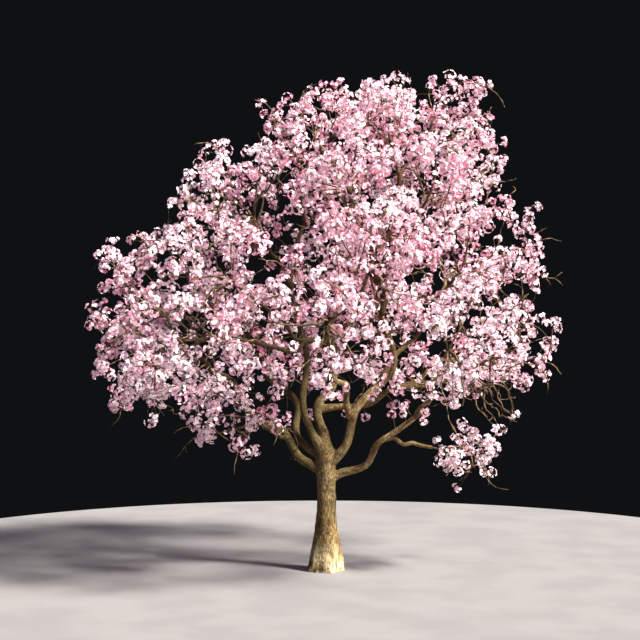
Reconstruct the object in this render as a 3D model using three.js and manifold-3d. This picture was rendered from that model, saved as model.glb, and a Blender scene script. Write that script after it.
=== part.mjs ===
// A cherry tree in full blossom, about nine metres high and wide. A short flared trunk forks low
// into six boughs, the boughs carry limbs, and each limb ends where it enters one to three masses
// of blossom. All sizes are in millimetres, +Z is up, and the origin is on the ground under the trunk.
import * as THREE from "three";
import { mergeVertices } from "three/addons/utils/BufferGeometryUtils.js";
import Module from "manifold-3d";

const wasm = await Module();
wasm.setup();

// Driving dimensions

const CLEARANCE = 0.3; // gap left where one solid meets the next

const TRUNK = {
  top: 2330, // where the last of the trunk ends, between the boughs
  fork: 2080, // height of the swelling that the boughs leave from
  waist: 150, // radius just under the fork
  taper: 60, // how much thicker the bare column is at the ground
  flare: 116, // further radius of the root flare at the ground
  flareHeight: 520,
  swelling: 42,
  swellingHeight: 340,
  crest: 70, // radius of the last ring
  lobes: 5, // ribs of the root flare
  lobeDepth: 0.07,
  bow: 26, // how far the column bows to the right
  sides: 15,
  rings: 11,
  crowding: 1.15, // rings lie closer together towards the ground by this power
};

const LIMB_SIDES = 7;
const LIMB_STEPS = 7;
const BRANCH_SIDES = 5;
const BRANCH_STEPS = 4;
const SWAY = 0.05; // sideways wander of a limb, as a share of its length
const SWAY_WAVES = [1.5, 1.1]; // waves of the wander along a limb, one way and the other
const COLLAR = 0.3; // extra thickness of a limb where it leaves its parent
const COLLAR_LENGTH = 0.1; // and the share of the limb in which that dies away
const BRANCH_SHARE = 0.85; // a branch starts at most this share of its parent's radius
const BRANCH_TAPER = 12; // and otherwise this much thicker than it ends
const BRANCH_LEAVE = 0.6; // how strongly a branch starts along its parent
const BRANCH_RISE = 0.25; // how strongly it turns up at its tip
const TIP_PER_MASS = 6; // a limb's tip radius grows by this with each mass that it carries
const TIP_LEAST = 25;
const STOP_SHORT = 0.8; // a limb ends this share of a mass's radius before the mass's centre

// The boughs. Each starts on its parent at a share of the parent's length (of the height, on the
// trunk), leaves and arrives at a bearing and a pitch in degrees, and ends at its tip.
// Bearing 0 is to the right, 90 to the back, 180 to the left and 270 to the front.
const BOUGHS = [
  { name: "bough_centre_back", parent: "trunk", from: 0.86, root: 96, end: 56, tip: [230, 1480, 4280],
    leaves: [118, 78], arrives: [78, 42], seed: 11 },
  { name: "bough_right", parent: "trunk", from: 0.8, root: 84, end: 56, tip: [860, -330, 5280],
    leaves: [352, 42], arrives: [205, 62], seed: 12 },
  { name: "bough_centre_left", parent: "trunk", from: 0.88, root: 74, end: 48, tip: [-500, 120, 5700],
    leaves: [184, 66], arrives: [40, 82], seed: 13 },
  { name: "bough_mid_left", parent: "trunk", from: 0.84, root: 72, end: 50, tip: [-1330, 720, 4350],
    leaves: [168, 40], arrives: [150, 62], seed: 14 },
  { name: "bough_low_left", parent: "trunk", from: 0.76, root: 84, end: 56, tip: [-1680, -380, 3440],
    leaves: [183, 24], arrives: [190, 52], seed: 15 },
  { name: "bough_low_right", parent: "trunk", from: 0.66, root: 76, end: 44, tip: [1700, -420, 2880],
    leaves: [356, 34], arrives: [338, 44], seed: 16 },
  { name: "bough_front", parent: "bough_right", from: 0.27, root: 58, end: 46, tip: [60, -1500, 4150],
    leaves: [225, 62], arrives: [262, 30], seed: 17 },
  { name: "limb_crossing", parent: "bough_centre_back", from: 0.33, root: 56, end: 40,
    tip: [2640, -40, 3640], leaves: [8, 12], arrives: [352, 30], seed: 18 },
];

// The limbs on the boughs and on each other. Each ends just inside the masses that name it, so it
// needs no tip.
const BRANCHES = [
  { name: "limb_left_front", parent: "bough_low_left", from: 0.97, seed: 21 },
  { name: "limb_front_left_low", parent: "bough_low_left", from: 0.38, seed: 22 },
  { name: "limb_left_back", parent: "bough_mid_left", from: 0.9, seed: 23 },
  { name: "limb_upper_left", parent: "bough_centre_left", from: 0.84, seed: 24 },
  { name: "limb_top_left", parent: "bough_centre_left", from: 0.97, seed: 25 },
  { name: "limb_back", parent: "bough_centre_back", from: 0.95, seed: 27 },
  { name: "limb_back_left", parent: "bough_centre_back", from: 0.7, seed: 28 },
  { name: "limb_back_high", parent: "bough_centre_back", from: 0.85, seed: 29 },
  { name: "limb_right_back", parent: "limb_crossing", from: 0.55, seed: 30 },
  { name: "limb_top", parent: "bough_right", from: 0.8, seed: 31 },
  { name: "limb_upper_right", parent: "limb_top", from: 0.36, seed: 32 },
  { name: "limb_upper_front", parent: "limb_top", from: 0.14, seed: 33 },
  { name: "limb_upper_back", parent: "limb_top", from: 0.26, seed: 34 },
  { name: "limb_right_high", parent: "bough_right", from: 0.5, seed: 35 },
  { name: "limb_hanging_right", parent: "bough_low_right", from: 0.62, seed: 37 },
  { name: "limb_right_front", parent: "bough_low_right", from: 0.95, seed: 38 },
  { name: "limb_front", parent: "bough_front", from: 0.96, seed: 39 },
  { name: "limb_front_left", parent: "bough_front", from: 0.86, seed: 40 },
  { name: "limb_front_high_left", parent: "bough_front", from: 0.74, seed: 41 },
  { name: "limb_front_high_right", parent: "bough_front", from: 0.62, seed: 42 },
];

// The masses of blossom stand in four rings, one above another. A ring is an ellipse: its centre
// is off the trunk by "aside", it rises to the right by "slope" and to the front by "tilt", and
// arches up by "lift" at the front and the back. Its masses are numbered from the bearing "turn"
// round by the back.
const TIERS = [
  { name: "skirt", turn: -10, height: 3980, slope: 0, tilt: 0.04, lift: 430, aside: -20,
    width: 3280, depth: 3350, radius: 1120, sprays: 13,
    limbs: ["limb_crossing", "limb_right_back", "limb_back", "limb_back_left", "limb_left_back",
      "limb_left_front", "limb_front_left", "limb_front", "limb_right_front"] },
  { name: "shoulder", turn: -20, height: 5400, slope: 0.1, tilt: 0.05, lift: 0, aside: -150,
    width: 3000, depth: 2700, radius: 1080, sprays: 13,
    limbs: ["limb_right_high", "limb_right_high", "limb_back_high", "limb_left_back",
      "limb_left_front", "limb_front_high_left", "limb_front_high_right"] },
  { name: "upper", turn: 30, height: 6800, slope: 0.11, tilt: 0.03, lift: 0, aside: 300,
    width: 2020, depth: 1800, radius: 1030, sprays: 13,
    limbs: ["limb_upper_right", "limb_upper_back", "limb_upper_left", "limb_upper_left",
      "limb_upper_front", "limb_upper_right"] },
  { name: "top", turn: 0, height: 7710, slope: 0.12, tilt: 0, lift: 0, aside: 1000, width: 1290,
    depth: 800, radius: 900, sprays: 12,
    limbs: ["limb_top", "limb_top", "limb_top_left", "limb_top"] },
];

// Two masses fill the heart of the crown, and three small ones hang below the rings.
const LONE_MASSES = [
  { name: "mass_heart_right", limb: "bough_right", centre: [380, -420, 5500], radius: 850, flat: 1,
    sprays: 10 },
  { name: "mass_heart_left", limb: "bough_mid_left", centre: [-1200, -850, 4450], radius: 850,
    flat: 1, sprays: 10 },
  { name: "mass_low_right", limb: "limb_crossing", centre: [2300, -600, 3120], radius: 900, flat: 0.5,
    sprays: 8 },
  { name: "mass_hanging_right", limb: "limb_hanging_right", centre: [2380, -260, 2160], radius: 600,
    flat: 1, sprays: 8 },
  { name: "mass_hanging_left", limb: "limb_front_left_low", centre: [-1480, -900, 2860],
    radius: 1000, flat: 0.65, sprays: 8 },
];

const HEART = new THREE.Vector3(200, 0, 5000); // the middle of the crown, which the masses look away from
const STEM_SHARE = 0.5; // a mass's stem runs this share of the way from its limb to its centre
const STEM_SINK = 34; // how deep in its limb a stem starts, before it is cut clear
const TWIG_TIP = 6.5; // radius of a twig that bears one spray
const TWIG_SIDES = 3;
const SPRAY_RADIUS = 285;
const SPRAY_CORNERS = 5; // one for each petal of a cherry blossom
const SPRAY_RIM = 0.32; // how far the corners stand forward of the root of a spray, in spray radii
const SPRAY_FRONT = 0.07; // the middle of the dished front
const SPRAY_BACK = -0.42; // and the point of the back
const SPRAY_SPACING = 1.65; // least distance between two sprays, in spray radii
const FIRST_SEED = 5225; // the first mass's; each further mass takes the next
const ROOM = 12; // least gap from a twig or a spray to a limb or to the wall of its own space
const TRIES = 1.34; // places tried for each spray that a mass should have
const PLACE_SHARES = [1, 0.8, 0.62]; // a spray that meets something moves in by these shares
const LEAST_OUT = 0.3; // and is left out when it would come nearer than this to the middle
const RISE_JITTER = 0.16;
const ANGLE_JITTER = 0.7;
const STEM_ROOM = 26; // radius kept clear round the stems of other masses
const TWIG_ROOM = 14; // and round the middle of a twig
const PATH_WEIGHT = 0.35; // how strongly a twig seeks the shortest way back to the stem
const TURN_WEIGHT = 0.35; // and how strongly it keeps its direction
const INWARD = -0.5; // no spray faces further than this towards the heart of the crown
const SHELL = [0.64, 0.26]; // sprays lie from 0.64 to 0.9 of the radius out
const SHELL_POWER = 0.6; // below 1, more of them lie far out
const CORE_SHARE = 0.16; // share of the sprays that lie deeper
const CORE_DEPTH = 0.6;
const FACE_STEM = 0.8; // a spray looks away from its twig this much, against 1 for the middle
const FACE_UP = 0.25; // of its mass, and this much up

const BARK = new THREE.MeshStandardMaterial({ color: 0x8f7450, roughness: 0.92, metalness: 0 });
const BLOSSOM = new THREE.MeshStandardMaterial({ color: 0xf2b9cb, roughness: 0.75, metalness: 0 });

// Small tools

// The next random number, from 0 to 1, of a linear congruential row that starts at the seed.
function seeded(seed) {
  let state = seed >>> 0;
  return () => {
    state = (Math.imul(state, 1664525) + 1013904223) >>> 0;
    return state / 2 ** 32;
  };
}

const radians = THREE.MathUtils.degToRad;

function direction([bearing, pitch]) {
  const flat = Math.cos(radians(pitch));
  return new THREE.Vector3(
    flat * Math.cos(radians(bearing)),
    flat * Math.sin(radians(bearing)),
    Math.sin(radians(pitch)),
  );
}

// Least distance between the segments p-q and a-b.
function gapBetween(p, q, a, b) {
  const u = q.clone().sub(p);
  const v = b.clone().sub(a);
  const w = p.clone().sub(a);
  const uu = u.dot(u);
  const uv = u.dot(v);
  const vv = v.dot(v);
  const uw = u.dot(w);
  const vw = v.dot(w);
  const clamp = THREE.MathUtils.clamp;
  const area = uu * vv - uv * uv;
  let s = area > 1e-6 * uu * vv ? clamp((uv * vw - vv * uw) / area, 0, 1) : 0;
  const t = vv > 0 ? clamp((uv * s + vw) / vv, 0, 1) : 0;
  s = uu > 0 ? clamp((uv * t - uw) / uu, 0, 1) : 0;
  return w.addScaledVector(u, s).addScaledVector(v, -t).length();
}

// Solids

function solid(geometry) {
  geometry.deleteAttribute("normal");
  geometry.deleteAttribute("uv");
  const merged = mergeVertices(geometry, 1e-3);
  return new wasm.Manifold(
    new wasm.Mesh({
      numProp: 3,
      vertProperties: merged.attributes.position.array,
      triVerts: new Uint32Array(merged.index.array),
    }),
  );
}

function largest(made) {
  return made.decompose().reduce((a, b) => (b.volume() > a.volume() ? b : a));
}

function mesh(name, made, material) {
  const { vertProperties, triVerts } = made.getMesh();
  const geometry = new THREE.BufferGeometry();
  geometry.setAttribute("position", new THREE.BufferAttribute(vertProperties, 3));
  geometry.setIndex(new THREE.BufferAttribute(triVerts, 1));
  geometry.computeVertexNormals();
  const result = new THREE.Mesh(geometry, material);
  result.name = name;
  return result;
}

// A closed tube: the rings of a cylinder, each carried to its point of the path, turned square to
// it without twist, and scaled to its radius.
function tube(points, radii, sides) {
  const last = points.length - 1;
  const geometry = new THREE.CylinderGeometry(1, 1, last, sides, last);
  const along = points.map((_, i) =>
    points[Math.min(i + 1, last)].clone().sub(points[Math.max(i - 1, 0)]).normalize());
  const across = [];
  points.forEach((_, i) => {
    const start = Math.abs(along[0].z) < 0.9 ? new THREE.Vector3(0, 0, 1) : new THREE.Vector3(1, 0, 0);
    const side = (i ? across[i - 1] : start).clone();
    across.push(side.addScaledVector(along[i], -side.dot(along[i])).normalize());
  });
  const place = geometry.attributes.position;
  const corner = new THREE.Vector3();
  for (let i = 0; i < place.count; i++) {
    corner.fromBufferAttribute(place, i);
    const ring = Math.round(corner.y + last / 2);
    const third = across[ring].clone().cross(along[ring]);
    const { x, z } = corner;
    corner.copy(points[ring])
      .addScaledVector(across[ring], x * radii[ring])
      .addScaledVector(third, z * radii[ring]);
    place.setXYZ(i, corner.x, corner.y, corner.z);
  }
  return solid(geometry);
}

// The same tube, larger all round by the clearance, as the cutter for what meets it.
function tubeCutter(points, radii, sides) {
  const more = CLEARANCE / Math.cos(Math.PI / sides);
  const longer = points.map((p) => p.clone());
  const last = points.length - 1;
  longer[0].add(points[0].clone().sub(points[1]).setLength(CLEARANCE));
  longer[last].add(points[last].clone().sub(points[last - 1]).setLength(CLEARANCE));
  return tube(longer, radii.map((r) => r + more), sides);
}

// Trunk

function trunkRadius(z) {
  const column = TRUNK.waist + TRUNK.taper * (1 - z / TRUNK.fork);
  const flare = TRUNK.flare * Math.exp(-((z / TRUNK.flareHeight) ** 2));
  const swelling = TRUNK.swelling * Math.exp(-(((z - TRUNK.fork) / TRUNK.swellingHeight) ** 2));
  return column + flare + swelling;
}

function trunkAxis(z) {
  return new THREE.Vector3(TRUNK.bow * Math.sin((Math.PI * z) / TRUNK.top), 0, z);
}

function trunkSolid(grown = 0) {
  const geometry = new THREE.CylinderGeometry(1, 1, 1, TRUNK.sides, TRUNK.rings);
  const place = geometry.attributes.position;
  for (let i = 0; i < place.count; i++) {
    const share = place.getY(i) + 0.5;
    const z = TRUNK.top * share ** TRUNK.crowding;
    const angle = Math.atan2(-place.getZ(i), place.getX(i));
    const rib = TRUNK.lobeDepth * Math.exp(-((z / TRUNK.flareHeight) ** 2)) * Math.cos(TRUNK.lobes * angle);
    const radius = z < TRUNK.top - 1 ? trunkRadius(z) * (1 + rib) : TRUNK.crest;
    const axis = trunkAxis(z);
    const out = radius + grown / Math.cos(Math.PI / TRUNK.sides);
    place.setXYZ(i, axis.x + out * place.getX(i), axis.y - out * place.getZ(i), z + grown * share);
  }
  return solid(geometry);
}

// Limbs

// Points along a limb: a Bezier curve between its two ends and directions, with a seeded sway
// that is nothing at both ends.
function limbPoints(start, leaves, tip, arrives, steps, seed) {
  const random = seeded(seed);
  const length = tip.distanceTo(start);
  const curve = new THREE.CubicBezierCurve3(
    start,
    start.clone().addScaledVector(leaves, length / 3),
    tip.clone().addScaledVector(arrives, -length / 3),
    tip,
  );
  const chord = tip.clone().sub(start).normalize();
  const side = direction([360 * random(), 0]).cross(chord).normalize();
  const other = chord.clone().cross(side);
  const phase = random();
  return Array.from({ length: steps + 1 }, (_, i) => {
    const t = i / steps;
    const wander = SWAY * length * Math.sin(Math.PI * t);
    return curve.getPoint(t)
      .addScaledVector(side, wander * Math.sin(2 * Math.PI * (SWAY_WAVES[0] * t + phase)))
      .addScaledVector(other, wander * Math.cos(2 * Math.PI * (SWAY_WAVES[1] * t + phase)));
  });
}

function limbRadii(root, end, steps) {
  return Array.from({ length: steps + 1 }, (_, i) => {
    const t = i / steps;
    return root + (end - root) * t + root * COLLAR * Math.exp(-((t / COLLAR_LENGTH) ** 2));
  });
}

const limbs = new Map();

// The point, direction and radius of a limb, or of the trunk, at a share of its length.
function onParent(parent, share) {
  if (parent === "trunk") {
    const z = TRUNK.top * share;
    return { point: trunkAxis(z), along: new THREE.Vector3(0, 0, 1), radius: trunkRadius(z) };
  }
  const { points, radii } = limbs.get(parent);
  const place = share * (points.length - 1);
  const i = Math.min(Math.floor(place), points.length - 2);
  return {
    point: points[i].clone().lerp(points[i + 1], place - i),
    along: points[i + 1].clone().sub(points[i]).normalize(),
    radius: radii[i] + (radii[i + 1] - radii[i]) * (place - i),
  };
}

function addBough({ name, parent, from, root, end, tip, leaves, arrives, seed }) {
  const { point } = onParent(parent, from);
  const to = new THREE.Vector3(...tip);
  limbs.set(name, {
    name, parent, sides: LIMB_SIDES,
    points: limbPoints(point, direction(leaves), to, direction(arrives), LIMB_STEPS, seed),
    radii: limbRadii(root, end, LIMB_STEPS),
  });
}

function addBranch({ name, parent, from, seed }) {
  const start = onParent(parent, from);
  const carried = masses.filter((mass) => mass.limb === name);
  const middle = new THREE.Vector3();
  carried.forEach((mass) => middle.addScaledVector(mass.centre, 1 / carried.length));
  const way = middle.clone().sub(start.point);
  const tip = middle.clone().sub(way.clone().setLength(STOP_SHORT * carried[0].radius));
  way.normalize();
  const leaves = start.along.clone().multiplyScalar(BRANCH_LEAVE).add(way).normalize();
  const arrives = way.clone().add(new THREE.Vector3(0, 0, BRANCH_RISE)).normalize();
  const end = TIP_LEAST + TIP_PER_MASS * carried.length;
  limbs.set(name, {
    name, parent, sides: BRANCH_SIDES,
    points: limbPoints(start.point, leaves, tip, arrives, BRANCH_STEPS, seed),
    radii: limbRadii(Math.min(BRANCH_SHARE * start.radius, end + BRANCH_TAPER), end, BRANCH_STEPS),
  });
}

// Each limb is cut clear of its parent and of every limb made before it.
function limbSolids() {
  const trunk = trunkSolid();
  const trunkCutter = trunkSolid(CLEARANCE);
  const made = [mesh("trunk", trunk, BARK)];
  const cutters = [trunkCutter];
  for (const { name, points, radii, sides } of limbs.values()) {
    const whole = tube(points, radii, sides);
    const cut = cutters.reduce((left, cutter) => left.subtract(cutter), whole);
    made.push(mesh(name, largest(cut), BARK));
    cutters.push(tubeCutter(points, radii, sides));
  }
  return made;
}

// Masses of blossom

function tierMasses(tier) {
  return tier.limbs.map((limb, i) => {
    const bearing = radians(tier.turn) + (2 * Math.PI * i) / tier.limbs.length;
    const x = tier.aside + tier.width * Math.cos(bearing);
    const y = tier.depth * Math.sin(bearing);
    const arch = tier.lift * Math.sin(bearing) ** 4;
    const centre = new THREE.Vector3(x, y, tier.height + tier.slope * x - tier.tilt * y + arch);
    const { name, radius, sprays } = tier;
    return { name: `mass_${name}_${i + 1}`, limb, radius, sprays, flat: 1, centre };
  });
}

const masses = [
  ...TIERS.flatMap(tierMasses),
  ...LONE_MASSES.map((mass) => ({ ...mass, centre: new THREE.Vector3(...mass.centre) })),
];

// The walls of a mass's own space: a plane towards every other mass, nearer to the smaller one.
function walls(mass) {
  return masses.filter((other) => other !== mass).map((other) => {
    const normal = other.centre.clone().sub(mass.centre);
    const distance = (normal.length() * mass.radius) / (mass.radius + other.radius);
    return { normal: normal.normalize(), distance };
  });
}

// How far a spray can lie from the centre of its mass, in a direction, before it meets a wall.
function reachIn(toward, spaceWalls) {
  return spaceWalls.reduce((reach, { normal, distance }) => {
    const slope = toward.dot(normal);
    return slope > 0 ? Math.min(reach, (distance - SPRAY_RADIUS - ROOM) / slope) : reach;
  }, Infinity);
}

// Where the sprays of a mass lie: a golden spiral round its centre, unsettled by the seed.
function sprayPoints(mass, obstacles, random) {
  const spaceWalls = walls(mass);
  const outward = mass.centre.clone().sub(HEART).normalize();
  const golden = Math.PI * (3 - Math.sqrt(5));
  const points = [];
  const tries = Math.ceil(mass.sprays * TRIES);
  for (let k = 0; k < tries; k++) {
    const even = 1 - (2 * k + 1) / tries;
    const rise = THREE.MathUtils.clamp(even + RISE_JITTER * (random() - 0.5), -1, 1);
    const angle = k * golden + ANGLE_JITTER * (random() - 0.5);
    const level = Math.sqrt(1 - rise * rise);
    const toward = new THREE.Vector3(level * Math.cos(angle), level * Math.sin(angle), rise);
    const deep = random() < CORE_SHARE ? CORE_DEPTH : 1;
    const reach = mass.radius * (SHELL[0] + SHELL[1] * random() ** SHELL_POWER) * deep;
    if (toward.dot(outward) < INWARD) continue;
    for (const share of PLACE_SHARES) {
      const out = Math.min(reach, reachIn(toward, spaceWalls)) * share;
      const point = toward.clone().multiplyScalar(out);
      point.z *= mass.flat;
      point.add(mass.centre);
      const free = out > LEAST_OUT * mass.radius &&
        obstacles.every((o) => gapBetween(point, point, o.a, o.b) > SPRAY_RADIUS + o.radius + ROOM) &&
        points.every((p) => p.distanceTo(point) > SPRAY_SPACING * SPRAY_RADIUS);
      if (free) {
        points.push(point);
        break;
      }
    }
  }
  return points;
}

// The twigs of a mass, as a tree of nodes: the root in the limb, the end of the stem, and one node
// for each spray, each joined to the node that gives it the shortest and straightest way back.
function growTwigs(mass, obstacles, points) {
  const limb = limbs.get(mass.limb);
  const last = limb.points.length - 1;
  const tip = limb.points[last];
  const into = tip.clone().sub(limb.points[last - 1]).normalize();
  const root = { point: tip.clone().addScaledVector(into, -STEM_SINK), parent: null, path: 0 };
  const stem = { point: tip.clone().lerp(mass.centre, STEM_SHARE), parent: root, path: 0 };
  const nodes = [root, stem];
  const waiting = new Set(points);
  while (waiting.size) {
    let best = null;
    for (const point of waiting) {
      for (const node of nodes.slice(1)) {
        const step = point.clone().sub(node.point);
        const length = step.length();
        const before = node.point.clone().sub(node.parent.point).normalize();
        const turn = 1 - step.dot(before) / length;
        const cost = length * (1 + TURN_WEIGHT * turn) + PATH_WEIGHT * node.path;
        if (best && cost >= best.cost) continue;
        const free = obstacles.every((o) =>
          gapBetween(node.point, point, o.a, o.b) > TWIG_ROOM + o.radius + ROOM);
        if (free) best = { cost, point, node, length };
      }
    }
    if (!best) break;
    nodes.push({ point: best.point, parent: best.node, path: best.node.path + best.length });
    waiting.delete(best.point);
  }
  nodes.forEach((node) => { node.bears = node.parent && node !== stem ? 1 : 0; });
  nodes.slice(1).reverse().forEach((node) => { node.parent.bears += node.bears; });
  nodes.forEach((node) => { node.radius = TWIG_TIP * Math.sqrt(node.bears); });
  return nodes;
}

// The twigs as runs of nodes: each run follows the child that bears most, and the others start
// runs of their own from the same node.
function twigRuns(nodes) {
  const children = new Map(nodes.map((node) => [node, nodes.filter((n) => n.parent === node)]));
  const runs = [];
  const follow = (run) => {
    const next = [...children.get(run.at(-1))].sort((a, b) => b.bears - a.bears);
    if (!next.length) {
      runs.push(run);
      return;
    }
    follow([...run, next[0]]);
    next.slice(1).forEach((child) => follow([run.at(-1), child]));
  };
  follow([nodes[0]]);
  return runs;
}

function runTube(run, make) {
  const radii = run.map((node, i) => (i ? node.radius : run[1].radius));
  return make(run.map((node) => node.point), radii, TWIG_SIDES);
}

// A spray, as a cup with a corner for each petal: a sphere of five sides and two bands whose rim
// stands forward round a dished front, and whose back comes to a point. It faces where it is told.
function spraySolid(point, facing, roll) {
  const geometry = new THREE.SphereGeometry(1, SPRAY_CORNERS, 2);
  const place = geometry.attributes.position;
  for (let i = 0; i < place.count; i++) {
    const y = place.getY(i);
    place.setY(i, y > 0.5 ? SPRAY_FRONT : y < -0.5 ? SPRAY_BACK : SPRAY_RIM);
  }
  geometry.scale(SPRAY_RADIUS, SPRAY_RADIUS, SPRAY_RADIUS);
  geometry.rotateY(roll);
  const turn = new THREE.Quaternion().setFromUnitVectors(new THREE.Vector3(0, 1, 0), facing);
  geometry.applyQuaternion(turn);
  geometry.translate(point.x, point.y, point.z);
  return solid(geometry);
}

function sprayFacing(mass, node) {
  const fromStem = node.point.clone().sub(node.parent.point).normalize();
  const fromMiddle = node.point.clone().sub(mass.centre).normalize();
  return fromStem.multiplyScalar(FACE_STEM).add(fromMiddle).add(new THREE.Vector3(0, 0, FACE_UP)).normalize();
}

// What the twigs and sprays of a mass keep clear of: all limbs, and the stems of the others.
function obstaclesFor(mass) {
  const found = [];
  for (const { points, radii } of limbs.values()) {
    points.slice(1).forEach((b, i) => found.push({ a: points[i], b, radius: radii[i] }));
  }
  masses.filter((other) => other !== mass).forEach((other) => {
    const tip = limbs.get(other.limb).points.at(-1);
    found.push({ a: tip, b: tip.clone().lerp(other.centre, STEM_SHARE), radius: STEM_ROOM });
  });
  return found;
}

function massSolids() {
  const stems = new Map();
  return masses.map((mass, index) => {
    const random = seeded(FIRST_SEED + index);
    const obstacles = obstaclesFor(mass);
    const points = sprayPoints(mass, obstacles, random);
    const nodes = growTwigs(mass, obstacles, points);
    const runs = twigRuns(nodes);
    const twigs = runs.map((run) => runTube(run, tube));
    const sprays = nodes.slice(2).map((node) =>
      spraySolid(node.point, sprayFacing(mass, node), 2 * Math.PI * random()));
    const whole = [...twigs, ...sprays].reduce((joined, piece) => joined.add(piece));
    const beside = stems.get(mass.limb) ?? [];
    const near = [...limbs.values()].filter((l) => l.name === mass.limb || l.parent === mass.limb);
    const cutters = [...near.map((l) => tubeCutter(l.points, l.radii, l.sides)), ...beside];
    const cut = cutters.reduce((left, cutter) => left.subtract(cutter), whole);
    stems.set(mass.limb, [...beside, runTube(runs[0].slice(0, 2), tubeCutter)]);
    return mesh(mass.name, largest(cut), BLOSSOM);
  });
}

// The tree

BOUGHS.forEach(addBough);
BRANCHES.forEach(addBranch);

const tree = new THREE.Group();
tree.name = "cherry_blossom_tree";
tree.add(...limbSolids(), ...massSolids());

export default tree;
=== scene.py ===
"""A cherry tree in full blossom, dressed: ridged bark over the trunk and limbs, twigs that grow on
from the limbs, and pompoms of flowers on the twigs."""
import math

import bmesh
import bpy
import numpy as np
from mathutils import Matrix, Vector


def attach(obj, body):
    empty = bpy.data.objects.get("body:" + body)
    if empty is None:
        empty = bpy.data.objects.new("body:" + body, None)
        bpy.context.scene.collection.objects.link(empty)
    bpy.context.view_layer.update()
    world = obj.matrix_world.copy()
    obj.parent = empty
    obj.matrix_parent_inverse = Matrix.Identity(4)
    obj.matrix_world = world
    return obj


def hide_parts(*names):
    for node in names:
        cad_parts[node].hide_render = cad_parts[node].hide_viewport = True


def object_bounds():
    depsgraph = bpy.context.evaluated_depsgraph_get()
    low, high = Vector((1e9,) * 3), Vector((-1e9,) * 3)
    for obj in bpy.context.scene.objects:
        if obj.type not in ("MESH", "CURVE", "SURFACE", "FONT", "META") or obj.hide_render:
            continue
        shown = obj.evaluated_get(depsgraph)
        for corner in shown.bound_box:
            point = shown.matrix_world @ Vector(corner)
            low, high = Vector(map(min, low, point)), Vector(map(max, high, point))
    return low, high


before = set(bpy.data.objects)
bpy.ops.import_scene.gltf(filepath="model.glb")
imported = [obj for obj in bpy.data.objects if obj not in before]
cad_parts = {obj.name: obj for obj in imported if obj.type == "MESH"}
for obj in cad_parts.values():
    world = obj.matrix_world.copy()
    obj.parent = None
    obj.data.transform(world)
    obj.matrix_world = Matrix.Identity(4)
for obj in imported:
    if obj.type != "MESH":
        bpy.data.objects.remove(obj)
cad_box = [list(corner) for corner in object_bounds()]

# Growth is worked out in millimetres, and each mesh is made in metres.
MM = 0.001


def link_object(name, data):
    """A new object of some data, in the scene."""
    made = bpy.data.objects.new(name, data)
    bpy.context.scene.collection.objects.link(made)
    return made


# Camera: level, at half the height of the tree and far enough off to see it whole.

CAMERA_PLACE = (-0.09, -26.0, 4.5)
CAMERA_LENS_MM = 81.25
CAMERA_SENSOR_MM = 36.0
CAMERA_SIGHT = 200.0


def make_camera():
    data = bpy.data.cameras.new("camera")
    data.lens = CAMERA_LENS_MM
    data.sensor_width = CAMERA_SENSOR_MM
    data.clip_end = CAMERA_SIGHT
    camera = link_object("camera", data)
    camera.location = CAMERA_PLACE
    camera.rotation_euler = (math.radians(90), 0, 0)
    bpy.context.scene.camera = camera


make_camera()

# Growth: the sizes of the trunk, the limbs and the masses of blossom.

TRUNK = dict(top=2330, fork=2080, waist=150, taper=60, flare=116, flare_height=520, swelling=42,
             swelling_height=340, lobes=5, lobe_depth=0.07, bow=26)
LIMB_STEPS = 7
BRANCH_STEPS = 4
SWAY = 0.05  # of a limb's length
SWAY_WAVES = (1.5, 1.1)
COLLAR = 0.3  # how much thicker a limb starts, dying away over COLLAR_LENGTH of its length
COLLAR_LENGTH = 0.1
BRANCH_SHARE = 0.85  # most of its bough's radius that a limb starts with
BRANCH_TAPER = 12
BRANCH_LEAVE = 0.6  # how far a limb leaves along its bough
BRANCH_RISE = 0.25
TIP_PER_MASS = 6
TIP_LEAST = 25
STOP_SHORT = 0.8  # from a limb's end to the middle of its masses, in the radius of its first

# Boughs: parent, share of the parent's length, root and end radius, tip, bearing and pitch on
# leaving, bearing and pitch on arriving, seed.
BOUGHS = {
    "bough_centre_back": ("trunk", 0.86, 96, 56, (230, 1480, 4280), (118, 78), (78, 42), 11),
    "bough_right": ("trunk", 0.8, 84, 56, (860, -330, 5280), (352, 42), (205, 62), 12),
    "bough_centre_left": ("trunk", 0.88, 74, 48, (-500, 120, 5700), (184, 66), (40, 82), 13),
    "bough_mid_left": ("trunk", 0.84, 72, 50, (-1330, 720, 4350), (168, 40), (150, 62), 14),
    "bough_low_left": ("trunk", 0.76, 84, 56, (-1680, -380, 3440), (183, 24), (190, 52), 15),
    "bough_low_right": ("trunk", 0.66, 76, 44, (1700, -420, 2880), (356, 34), (338, 44), 16),
    "bough_front": ("bough_right", 0.27, 58, 46, (60, -1500, 4150), (225, 62), (262, 30), 17),
    "limb_crossing": ("bough_centre_back", 0.33, 56, 40, (2640, -40, 3640), (8, 12), (352, 30), 18),
}

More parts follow.
